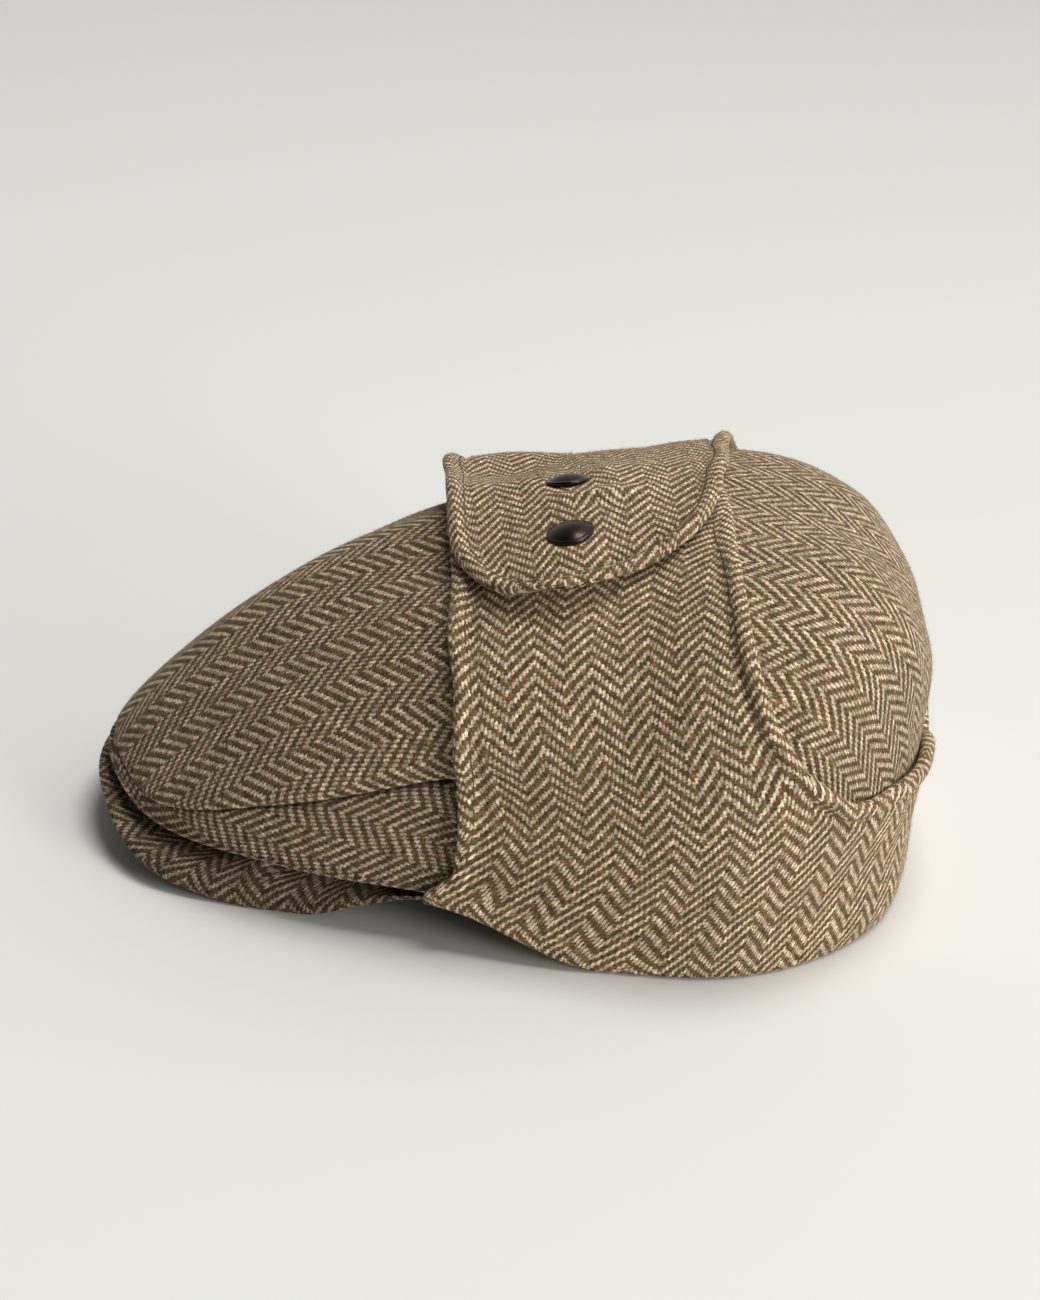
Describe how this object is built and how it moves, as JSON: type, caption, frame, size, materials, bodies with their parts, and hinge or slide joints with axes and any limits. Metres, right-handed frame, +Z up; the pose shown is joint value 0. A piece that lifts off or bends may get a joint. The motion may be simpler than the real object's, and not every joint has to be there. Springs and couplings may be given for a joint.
{
  "type": "earflap cap",
  "caption": "Soft herringbone tweed cap with a short peak, its earflaps and back band turned up, crossed over the crown and snapped together.",
  "frame": {"origin": "middle of the cap's footprint, on the surface that it rests on", "axes": "+Z up, the peak points to -Y, the wearer's left is +X"},
  "size_m": [0.1952, 0.2683, 0.1331],
  "materials": {
    "crown_tweed": "brown and cream herringbone wool tweed, matt",
    "flap_tweed": "brown and cream herringbone wool tweed, matt, with a turned and stitched hem",
    "snap_metal": "dark gunmetal, satin"
  },
  "bodies": {
    "root": {"crown_top": "crown_tweed", "crown_side_left": "crown_tweed", "crown_side_right": "crown_tweed", "peak": "crown_tweed", "ear_flap_left": "flap_tweed", "ear_flap_right": "flap_tweed", "snap_cap_lower": "snap_metal", "snap_cap_upper": "snap_metal"}
  },
  "joints": []
}
